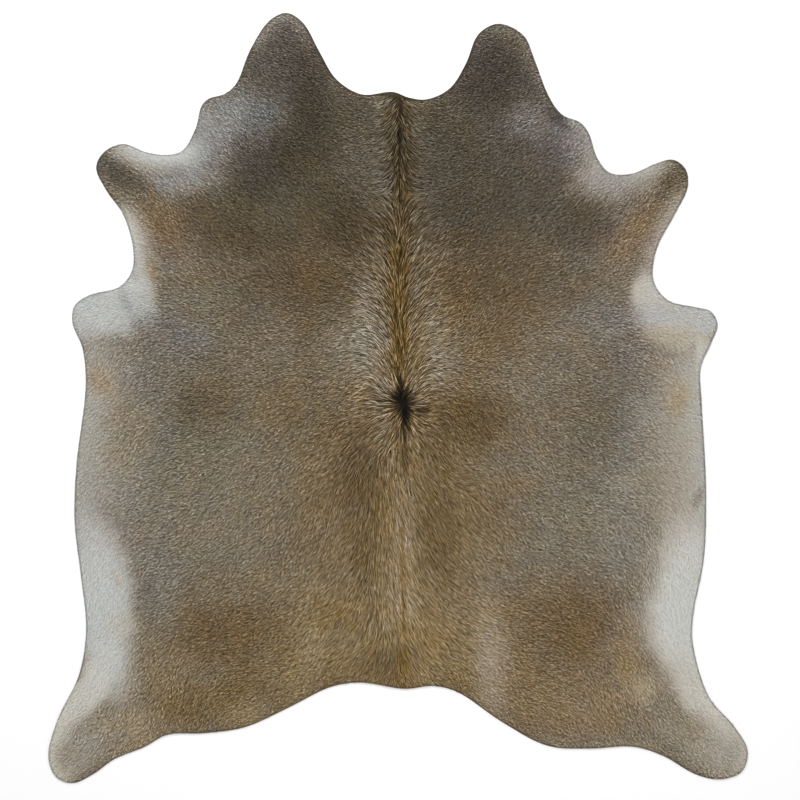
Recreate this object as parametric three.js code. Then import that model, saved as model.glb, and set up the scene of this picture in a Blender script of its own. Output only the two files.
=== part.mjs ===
// A whole cowhide rug lying flat with its hair side up: one tanned hide, cut to the animal's own
// outline, with the neck at +Y, the tail end at -Y and the spine along the Y axis. Sizes are in
// millimetres, +Z is up, and the origin is on the floor under the middle of the rug.
import * as THREE from 'three';

// Driving dimensions.
const leatherThickness = 2; // tanned skin, which is also the height of the cut edge
const cutSlant = 1.5; // how far the knife's slanting cut leaves the top edge behind the bottom one
const pileDepth = 4; // short hair lying on the skin
const bellyThinning = 1.4; // how much shallower the hair is along the belly and at the leg ends
const bellyBand = 110; // how far in from the edge that thinning reaches
const stepsPerKnot = 4; // straight steps from one place on the outline to the next
const gridPitch = 44;
const spinePitch = 20; // closer columns and rows where the ridge and the whorl need them
const spineBand = 100;

// The pile rounds up from the cut edge in these steps: how far in, and what share of its depth.
const edgeSteps = [
  { inset: 5, share: 0.62 },
  { inset: 15, share: 1 },
];

// The spine: its hair stands up in a low ridge, which parts at a whorl behind the shoulders.
const spine = { x: 14, halfWidth: 30, rise: 1.8, neckEnd: 900, tailEnd: -850 };
const whorl = { x: 20, y: -20, radius: 42, sink: 3.2 };

// Soft swells of the skin and hair: a gaussian each, with its long axis turned from +X.
const swells = [
  { place: 'withers', x: 5, y: 520, along: 230, across: 150, turn: 90, rise: 0.9 },
  { place: 'left shoulder', x: -430, y: 330, along: 190, across: 120, turn: 60, rise: 0.8 },
  { place: 'right shoulder', x: 450, y: 300, along: 190, across: 120, turn: 120, rise: 0.8 },
  { place: 'loin', x: 10, y: -330, along: 260, across: 170, turn: 90, rise: 0.7 },
  { place: 'left hip', x: -470, y: -650, along: 180, across: 120, turn: 150, rise: 0.9 },
  { place: 'right hip', x: 490, y: -650, along: 180, across: 120, turn: 30, rise: 0.9 },
  { place: 'left flank cowlick', x: -712, y: -565, along: 120, across: 34, turn: 92, rise: 1.6 },
  { place: 'right flank cowlick', x: 790, y: -470, along: 130, across: 34, turn: 72, rise: 1.6 },
  { place: 'left cheek crease', x: -470, y: 820, along: 80, across: 34, turn: 40, rise: 0.9 },
  { place: 'right cheek crease', x: 480, y: 760, along: 70, across: 32, turn: 125, rise: 0.9 },
  { place: 'left elbow', x: -770, y: 225, along: 80, across: 45, turn: 20, rise: -0.7 },
  { place: 'right elbow', x: 770, y: 215, along: 80, across: 45, turn: 160, rise: -0.7 },
];

// The cut outline, counter-clockwise from the middle of the neck: a smooth closed curve through
// the places where a tip or a bay turns.
const outline = [
  { stretch: 'neck edge', knots: [[-14, 873], [-103, 866], [-177, 910]] },
  { stretch: 'left neck flap', knots: [[-226, 990], [-272, 1071], [-318, 1099], [-366, 1077], [-421, 993]] },
  { stretch: 'left cheek', knots: [[-461, 897], [-495, 867], [-541, 853], [-561, 831], [-576, 772]] },
  { stretch: 'left throat bay', knots: [[-617, 704], [-671, 693], [-721, 701]] },
  { stretch: 'left fore shank', knots: [[-785, 724], [-838, 702], [-861, 659], [-833, 595]] },
  { stretch: 'left brisket bay', knots: [[-784, 524], [-755, 423], [-760, 360], [-795, 316]] },
  { stretch: 'left elbow', knots: [[-881, 292], [-923, 262], [-929, 215], [-901, 144]] },
  { stretch: 'left belly', knots: [[-891, 37], [-917, -189], [-923, -349], [-905, -509]] },
  { stretch: 'left flank bay', knots: [[-890, -664], [-911, -795]] },
  { stretch: 'left hind shank', knots: [[-970, -918], [-998, -1027], [-976, -1084], [-930, -1101], [-873, -1076]] },
  { stretch: 'left butt', knots: [[-812, -1033], [-724, -997], [-661, -963], [-552, -958]] },
  { stretch: 'left rump', knots: [[-438, -941], [-309, -883], [-195, -827], [-109, -813]] },
  { stretch: 'tail', knots: [[20, -831], [103, -823]] },
  { stretch: 'right rump', knots: [[172, -841], [300, -927], [429, -994]] },
  { stretch: 'right butt', knots: [[549, -1002], [675, -997], [761, -1024]] },
  { stretch: 'right hind shank', knots: [[855, -1077], [924, -1090], [983, -1068], [999, -1010], [961, -941]] },
  { stretch: 'right flank bay', knots: [[890, -858], [843, -707], [843, -627]] },
  { stretch: 'right belly', knots: [[874, -458], [880, -263], [867, -6], [865, 86]] },
  { stretch: 'right elbow', knots: [[895, 157], [913, 209], [895, 245], [853, 257]] },
  { stretch: 'right brisket bay', knots: [[771, 278], [730, 335], [738, 423]] },
  { stretch: 'right fore shank', knots: [[790, 524], [827, 601], [822, 652], [787, 679], [738, 668]] },
  { stretch: 'right throat bay', knots: [[669, 639], [605, 642], [568, 687]] },
  { stretch: 'right cheek', knots: [[545, 755], [522, 785], [469, 808], [432, 858]] },
  { stretch: 'right neck flap', knots: [[389, 967], [359, 1034], [289, 1068], [233, 1040], [195, 953]] },
  { stretch: 'neck edge right of the spine', knots: [[149, 883], [83, 852], [31, 857]] },
];

const bell = (distance, reach) => Math.exp(-((distance / reach) ** 2));

// The outline as points in the plane, round the middle of its own box.
function outlineLoop() {
  const knots = outline.flatMap((row) => row.knots).map(([x, y]) => new THREE.Vector3(x, y, 0));
  const curve = new THREE.CatmullRomCurve3(knots, true, 'centripetal');
  const steps = knots.length * stepsPerKnot;
  const loop = curve.getPoints(steps).slice(0, steps).map((p) => new THREE.Vector2(p.x, p.y));
  const middle = new THREE.Box2().setFromPoints(loop).getCenter(new THREE.Vector2());
  return loop.map((p) => p.sub(middle));
}

// The same loop moved inwards, each point along its own normal. The loop runs counter-clockwise.
function insetLoop(loop, inset) {
  return loop.map((point, i) => {
    const before = loop.at(i - 1);
    const after = loop[(i + 1) % loop.length];
    const inwards = new THREE.Vector2(before.y - after.y, after.x - before.x).normalize();
    return point.clone().addScaledVector(inwards, inset);
  });
}

function isInside(loop, x, y) {
  let inside = false;
  loop.forEach((a, i) => {
    const b = loop.at(i - 1);
    const crosses = a.y > y !== b.y > y;
    if (crosses && x < a.x + ((b.x - a.x) * (y - a.y)) / (b.y - a.y)) inside = !inside;
  });
  return inside;
}

function distanceTo(loop, x, y) {
  return Math.min(...loop.map((p) => Math.hypot(p.x - x, p.y - y)));
}

// How far along the spine's ridge a place is: 1 between its ends, fading over a spine band.
function alongSpine(y) {
  const past = Math.max(y - spine.neckEnd, spine.tailEnd - y, 0);
  return bell(past, spineBand);
}

function swellAt(x, y, swell) {
  const turn = THREE.MathUtils.degToRad(swell.turn);
  const dx = x - swell.x;
  const dy = y - swell.y;
  const along = dx * Math.cos(turn) + dy * Math.sin(turn);
  const across = dy * Math.cos(turn) - dx * Math.sin(turn);
  return swell.rise * bell(along, swell.along) * bell(across, swell.across);
}

// The depth of the hair above the skin, away from the cut edge.
function pileAt(x, y, fromEdge) {
  const ridge = spine.rise * bell(x - spine.x, spine.halfWidth) * alongSpine(y);
  const dimple = whorl.sink * bell(Math.hypot(x - whorl.x, y - whorl.y), whorl.radius);
  const swelling = swells.reduce((sum, swell) => sum + swellAt(x, y, swell), 0);
  return pileDepth - bellyThinning * bell(fromEdge, bellyBand) + ridge - dimple + swelling;
}

// Grid lines over a span: at the grid's pitch, and closer within a band round one place.
function gridLines(low, high, place) {
  const lines = [];
  for (let at = low; at < high; ) {
    lines.push(at);
    at += Math.abs(at - place) < spineBand ? spinePitch : gridPitch;
  }
  lines.push(high);
  return lines;
}

// The grid cells that lie whole inside a loop, with a margin. Where two cells would touch by
// a corner alone, one goes, so that their outer edges are simple loops.
function cellsInside(loop, xs, ys) {
  const margin = gridPitch * 0.35;
  const guard = insetLoop(loop, margin);
  const good = xs.map((x) => ys.map((y) => isInside(guard, x, y)));
  const kept = xs.slice(1).map((_, i) =>
    ys.slice(1).map((__, j) => good[i][j] && good[i + 1][j] && good[i][j + 1] && good[i + 1][j + 1]),
  );
  for (let i = 1; i < kept.length; i++) {
    for (let j = 1; j < kept[i].length; j++) {
      const [a, b, c, d] = [kept[i - 1][j - 1], kept[i][j - 1], kept[i - 1][j], kept[i][j]];
      if (a && d && !b && !c) kept[i][j] = false;
      if (b && c && !a && !d) kept[i - 1][j] = false;
    }
  }
  return kept;
}

// The outer edges of the kept cells, as closed loops of grid corners.
function cellEdges(kept, key) {
  const next = new Map();
  const isKept = (i, j) => kept[i]?.[j] ?? false;
  kept.forEach((column, i) =>
    column.forEach((there, j) => {
      if (!there) return;
      if (!isKept(i, j - 1)) next.set(key(i, j), [i + 1, j]);
      if (!isKept(i + 1, j)) next.set(key(i + 1, j), [i + 1, j + 1]);
      if (!isKept(i, j + 1)) next.set(key(i + 1, j + 1), [i, j + 1]);
      if (!isKept(i - 1, j)) next.set(key(i, j + 1), [i, j]);
    }),
  );
  const loops = [];
  while (next.size) {
    const loop = [];
    for (let at = next.keys().next().value; next.has(at); ) {
      const corner = next.get(at);
      next.delete(at);
      loop.push(corner);
      at = key(...corner);
    }
    loops.push(loop);
  }
  return loops;
}

// Joins two loops of equal length with a band of triangles that faces out and up.
function bandFaces(lower, upper) {
  return lower.flatMap((a, i) => {
    const b = lower[(i + 1) % lower.length];
    const c = upper[(i + 1) % upper.length];
    return [[a, b, c], [a, c, upper[i]]];
  });
}

function hideGeometry() {
  const corners = [];
  const addCorner = (x, y, z) => corners.push([x, y, z]) - 1;
  const addLoop = (loop, heightOf) => loop.map((p) => addCorner(p.x, p.y, heightOf(p)));
  const plane = (index) => new THREE.Vector2(corners[index][0], corners[index][1]);

  // Underside, cut edge and the rounding of the pile.
  const loop = outlineLoop();
  const rimTop = insetLoop(loop, cutSlant);
  const under = addLoop(loop, () => 0);
  const rings = [under, addLoop(rimTop, () => leatherThickness)];
  for (const step of edgeSteps) {
    const heightOf = (p) => leatherThickness + step.share * pileAt(p.x, p.y, step.inset);
    rings.push(addLoop(insetLoop(loop, step.inset), heightOf));
  }
  const faces = rings.slice(1).flatMap((ring, i) => bandFaces(rings[i], ring));

  // A grid over the middle, and a band of triangles between it and the innermost ring.
  const inner = rings.at(-1);
  const innerLoop = inner.map(plane);
  const xs = gridLines(Math.min(...loop.map((p) => p.x)), Math.max(...loop.map((p) => p.x)), spine.x);
  const ys = gridLines(Math.min(...loop.map((p) => p.y)), Math.max(...loop.map((p) => p.y)), whorl.y);
  const key = (i, j) => i * ys.length + j;
  const cornerAt = new Map();
  const gridCorner = (i, j) => {
    if (!cornerAt.has(key(i, j))) {
      const [x, y] = [xs[i], ys[j]];
      const z = leatherThickness + pileAt(x, y, distanceTo(loop, x, y));
      cornerAt.set(key(i, j), addCorner(x, y, z));
    }
    return cornerAt.get(key(i, j));
  };
  const kept = cellsInside(innerLoop, xs, ys);
  kept.forEach((column, i) =>
    column.forEach((there, j) => {
      if (!there) return;
      const [a, b, c, d] = [[i, j], [i + 1, j], [i + 1, j + 1], [i, j + 1]].map((at) => gridCorner(...at));
      faces.push([a, b, c], [a, c, d]);
    }),
  );
  const holes = cellEdges(kept, key).map((edge) => edge.map((at) => gridCorner(...at)));
  faces.push(...flatFaces(inner, holes, plane, true), ...flatFaces(under, [], plane, false));

  const geometry = new THREE.BufferGeometry();
  geometry.setAttribute('position', new THREE.Float32BufferAttribute(corners.flat(), 3));
  geometry.setIndex(faces.flat());
  geometry.computeVertexNormals();
  return geometry;
}

// Fills the plane between a loop of corners and the holes in it, facing up or down.
function flatFaces(rim, holes, plane, facesUp) {
  const order = [...rim, ...holes.flat()];
  const filled = THREE.ShapeUtils.triangulateShape(rim.map(plane), holes.map((hole) => hole.map(plane)));
  return filled.map((face) => {
    const [a, b, c] = face.map((i) => order[i]);
    const isUp = plane(b).sub(plane(a)).cross(plane(c).sub(plane(a))) > 0;
    return isUp === facesUp ? [a, b, c] : [a, c, b];
  });
}

const hairMaterial = new THREE.MeshStandardMaterial({ color: 0x7a6c58, roughness: 0.85, metalness: 0 });
const hide = new THREE.Mesh(hideGeometry(), hairMaterial);
hide.name = 'hide';

const rug = new THREE.Group();
rug.add(hide);

export default rug;
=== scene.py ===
"""A whole cowhide rug lying flat on a pale floor, hair side up, seen from straight above.

The tanned skin is one closed sheet cut to the outline of the CAD node. Its hair is modelled as
lying strands, in five pieces from the neck to the rump. Lengths are in metres, +Y is towards the neck.
"""
import math

import bpy
import numpy as np
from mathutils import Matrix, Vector
from mathutils.bvhtree import BVHTree
from mathutils.geometry import delaunay_2d_cdt


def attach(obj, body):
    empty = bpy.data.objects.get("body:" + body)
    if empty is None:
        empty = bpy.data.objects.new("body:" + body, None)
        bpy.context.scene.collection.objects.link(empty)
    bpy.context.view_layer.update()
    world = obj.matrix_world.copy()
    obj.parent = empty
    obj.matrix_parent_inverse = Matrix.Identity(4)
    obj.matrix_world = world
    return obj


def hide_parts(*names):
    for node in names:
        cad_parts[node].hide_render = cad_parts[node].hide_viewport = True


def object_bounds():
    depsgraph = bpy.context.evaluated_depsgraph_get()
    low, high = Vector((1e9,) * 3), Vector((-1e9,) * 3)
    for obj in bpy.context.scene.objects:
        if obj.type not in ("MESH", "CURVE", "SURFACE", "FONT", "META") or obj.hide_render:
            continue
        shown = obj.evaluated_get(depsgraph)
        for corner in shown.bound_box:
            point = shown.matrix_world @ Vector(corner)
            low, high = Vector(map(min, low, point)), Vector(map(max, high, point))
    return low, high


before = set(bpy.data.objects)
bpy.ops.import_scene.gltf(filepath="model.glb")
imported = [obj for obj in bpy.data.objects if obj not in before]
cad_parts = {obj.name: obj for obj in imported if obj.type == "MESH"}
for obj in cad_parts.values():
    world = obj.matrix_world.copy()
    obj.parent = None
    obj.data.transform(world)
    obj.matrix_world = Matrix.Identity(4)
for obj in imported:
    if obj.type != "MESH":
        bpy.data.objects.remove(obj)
cad_box = [list(corner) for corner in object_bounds()]
rng = np.random.default_rng(11)

# Sizes of the hide.
SKIN_THICKNESS = 0.002
CUT_SLANT = 0.0015  # how far the slanting cut lets the upper edge reach past the lower one
OUTLINE_STEP = 0.006
SKIN_PITCH = 0.020
SKIN_MARGIN = 0.6 * SKIN_PITCH  # how far inside the outline the skin's own points start
WHORL = (0.015, -0.020)
WHORL_REACH = 0.028
WHORL_PITCH = SKIN_PITCH / 5
PLAIN_TOP = 0.006  # the height of the CAD node's top away from its ridge and swells
SKIN_LIFT = 0.3  # the skin's share of what rises above that
FIELD_PITCH = 0.008
FIELD_MARGIN = 0.03
PLACES_AT_ONCE = 4000  # so many places are measured at once against the outline, to save memory

# Sizes of the hair.
STRAND_PITCH = 0.0026
STRAND_WIDTH = 0.0014
WIDTHS = (0.75, 1.25)  # the narrowest and widest strand, as shares of that width
ROOT_MARGIN = 0.0012  # how far inside the cut edge the outermost roots are
ROOT_DEPTH = 0.0002
HAIR_LENGTH = 0.0135
LENGTHS = (0.75, 1.25)  # the shortest and longest strand at one place, as shares of its length
EDGE_HAIR = 0.75  # the length's share at the cut edge, from which it grows over the reach below
EDGE_HAIR_REACH = 0.10
SPINE_HAIR = 0.024  # how much longer the hair is along the spine
SPINE_HAIR_REACH = 0.12
BROADEST = 1.6  # how many times that reach the long hair has behind the whorl
NARROWING = 0.6  # how much of that it loses over each of the stretches below, going towards the neck
NARROWING_STRETCHES = [(-0.25, -0.05), (0.42, 0.60)]
SPINE_HAIR_FADE = (-0.85, -0.70)  # where the long hair ends at the tail
CREST_START = (-0.30, 0.05)  # where the long hair's crest begins, in which the strands differ more
OVERHANG = 0.003
SHORTEST_CUT = 0.2  # what at least is left of a strand that is shortened to that overhang

# How the strands stray from their lie, and how high they rise.
STRAND_SWAY = 13  # how far a single strand strays, in degrees, besides straying with those round it
SPINE_CALM = 0.65  # how much less they stray along the spine
PARTING_OVERLAP = 0.004
RISE_SHARE = 1.03  # a tip's height above the skin, as a share of that of the CAD node's top at its root
PROUD_RISE = 0.13  # how much more of it a strand has that stands out
LEAST_RISE = 0.0006
RISES = (0.8, 1.15)  # the lowest and highest strand at one place, as shares of its rise
MIDDLE_RISE = 0.74  # the middle's height as a share of the tip's
MIDDLE_STRAY, TIP_STRAY = 0.0006, 0.0007  # to either side
ROLL = 0.7  # the most that a strand is rolled about its own line, in radians

# How the strands differ in tone, with painted light and shade among it. A strand has four corners: root,
# left and right of its middle, and tip.
CORNER_PARTS = [0, 1, 1, 2]
STRAND_CONTRAST = 0.25  # how much the strands differ in lightness, partly in their own tone and partly with painted light, the higher strands the paler
CREST_CONTRAST = 0.9  # how much more they do along the spine before the whorl, partly with painted shade between the long hairs there
SPINE_SHADE, CREST_SHADE = 0.05, 0.07  # how much darker the long hair is, and its crest besides
PART_LIGHT_AND_SHADE = np.array([-0.54, 0.0, 0.15])  # painted light and shade: a root is darker than the coat, for the shade under the strands over it, and a tip is paler, for the light on top
PART_WARMTHS = np.array([0.26, 0.10, 0.01])  # all are warmer than the coat, a root the most
WARMTH_SCATTER = 0.03
PALER_COOLER = 0.35  # how much cooler a strand is for being paler
# These painted shades and the strands' differences are shares of the first number times the coat's
# lightness, plus the second.
SHADE_BY_LIGHTNESS, SHADE_EVERYWHERE = 0.85, 0.09
TONE_RANGE = (0.005, 0.995)
MIDDLE_SPOT, TIP_SPOT = 0.8, 0.75  # where its middle and tip take their tone, as shares of the way there
EDGE_PAINTED_SHADOW = 0.3  # painted shadow: how much darker the coat is made right at the cut edge
EDGE_PAINTED_SHADOW_REACH = 0.0025
CALM = (0.40, 0.67)  # the lightness from which the coat grows even, and where it is as even as it gets
CALMEST = 0.86  # how much of their difference the palest strands lose
EVENING_REACH = 2  # in strands, on each side
MOST_UNEVEN = 2.2
ZONES = ["hair_neck", "hair_shoulders", "hair_ribs", "hair_loin", "hair_rump"]

# Layers of smooth noise: strength, size of the lumps and seed.
NOISE_WIDTH = 4  # in metres, more than the rug is long
STRAY_X = [(0.7, 0.12, 1), (0.4, 0.035, 2)]
STRAY_Y = [(0.7, 0.12, 3), (0.4, 0.035, 4)]
LIGHTNESS_MOTTLE = [(0.025, 0.06, 5), (0.03, 0.016, 6)]
SWAY = [(9, 0.06, 7), (10, 0.014, 8)]
WARMTH_MOTTLE = [(0.045, 0.07, 9), (0.045, 0.03, 10)]
TINT_MOTTLE = 1.25  # how much the colour leans to red where that mottle is warm

# The hair's UV map is a palette by tone. The skin's is flat, with its two sides next to each other.
UV_EDGE = 0.01
UV_SPAN = 0.98
UV_SPREAD = 0.004  # how far a strand's left and right corners are set apart
SKIN_UV_SPAN = 0.48

# The parting from which the hair lies outward: its places from the neck to the tail, as y and x.
PARTING = [
    (0.80, 0.004), (0.58, 0.005), (0.45, 0.004), (0.05, 0.004), (-0.02, 0.014), (-0.14, 0.016),
    (-0.19, -0.02), (-0.24, -0.06), (-0.58, -0.068), (-0.66, -0.05), (-0.72, -0.02), (-0.78, -0.002),
]

# How the hair lies, root to tip, left and right alike: 0 degrees is straight out from the parting,
# 90 towards the neck and -90 towards the tail. Columns are distances out from the parting.
LIE_OUT = (0.0, 0.03, 0.06, 0.10, 0.14, 0.26, 0.45, 0.64, 0.82, 0.96)
LIE = [
    ("neck flap tips", 0.97, (-20, -10, -5, 0, 5, 15, 14, 10, 10, 10)),
    ("neck edge", 0.87, (-60, -35, -18, -5, 6, 25, 24, 18, 15, 15)),
    ("nape", 0.76, (-70, -46, -16, -8, 2, 22, 33, 37, 26, 20)),
    ("lower nape", 0.66, (-85, -46, -8, 2, 18, 26, 34, 38, 18, 15)),
    ("end of the nape", 0.585, (-85, -30, 2, 16, 34, 30, 34, 38, 18, 12)),
    ("withers", 0.577, (75, 50, 16, 18, 28, 30, 34, 37, 17, 12)),
    ("shoulders", 0.53, (85, 52, 35, 32, 34, 30, 33, 36, 16, 10)),
    ("behind the shoulders", 0.43, (90, 56, 48, 38, 32, 27, 27, 30, 20, 0)),
    ("brisket", 0.32, (90, 57, 41, 26, 14, 22, 20, 18, 5, -10)),
    ("elbows", 0.22, (90, 54, 37, 24, 10, 12, 8, 0, -34, -36)),
    ("below the elbows", 0.11, (90, 60, 42, 8, -4, -6, -3, -14, -46, -46)),
    ("before the whorl", 0.05, (90, 62, 44, -8, -22, -18, -9, -18, -42, -45)),
    ("front of the whorl", 0.015, (60, 40, 30, -12, -20, -25, -12, -12, -38, -42)),
    ("whorl", -0.02, (0, 8, 6, -2, -12, -30, -14, -9, -36, -40)),
    ("back of the whorl", -0.06, (-75, -48, -22, -20, -22, -40, -20, -12, -37, -41)),
    ("behind the whorl", -0.10, (-90, -57, -36, -38, -40, -42, -25, -13, -39, -43)),
    ("ribs", -0.16, (-90, -72, -58, -55, -48, -43, -27, -15, -40, -44)),
    ("back of the ribs", -0.24, (-90, -85, -80, -70, -58, -45, -31, -18, -44, -47)),
    ("belly", -0.32, (-90, -84, -80, -70, -60, -49, -33, -21, -48, -50)),
    ("loin", -0.42, (-90, -82, -78, -68, -61, -50, -34, -28, -60, -65)),
    ("flanks", -0.55, (-90, -80, -76, -64, -54, -42, -20, -28, -86, -88)),
    ("hips", -0.64, (-90, -76, -70, -58, -49, -36, -11, -32, -66, -70)),
    ("rump", -0.74, (-90, -68, -55, -44, -42, -36, -13, -42, -54, -55)),
    ("butts", -0.84, (-90, -60, -48, -42, -38, -32, -18, -60, -50, -46)),
    ("hind shanks", -0.94, (-90, -60, -50, -42, -38, -32, -26, -62, -46, -42)),
    ("hind shank tips", -1.06, (-90, -60, -50, -42, -38, -32, -30, -48, -40, -36)),
]

# Places where one side's hair is turned from that lie, in degrees towards the neck.
TURNED = [
    # place, x, y, reach across the rug, reach along it, turn
    ("right shoulder blade", 0.22, 0.20, 0.10, 0.14, 30),
    ("left shoulder blade", -0.21, 0.20, 0.10, 0.14, -22),
    ("right of the whorl", 0.20, -0.06, 0.10, 0.09, -14),
    ("left of the whorl", -0.21, -0.02, 0.10, 0.09, 10),
    ("right of the loin", 0.20, -0.22, 0.06, 0.05, 38),
    ("left of the loin", -0.13, -0.45, 0.05, 0.20, 15),
]

# The floor, and the width and the middle of what the camera takes in of it.
FLOOR_SIZE = 40
FLOOR_GAP = 0.0005
FRAME_WIDTH = 2.289
FRAME_MIDDLE = (0.0057, -0.0057)
CAMERA_HEIGHT = 7.0

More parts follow.
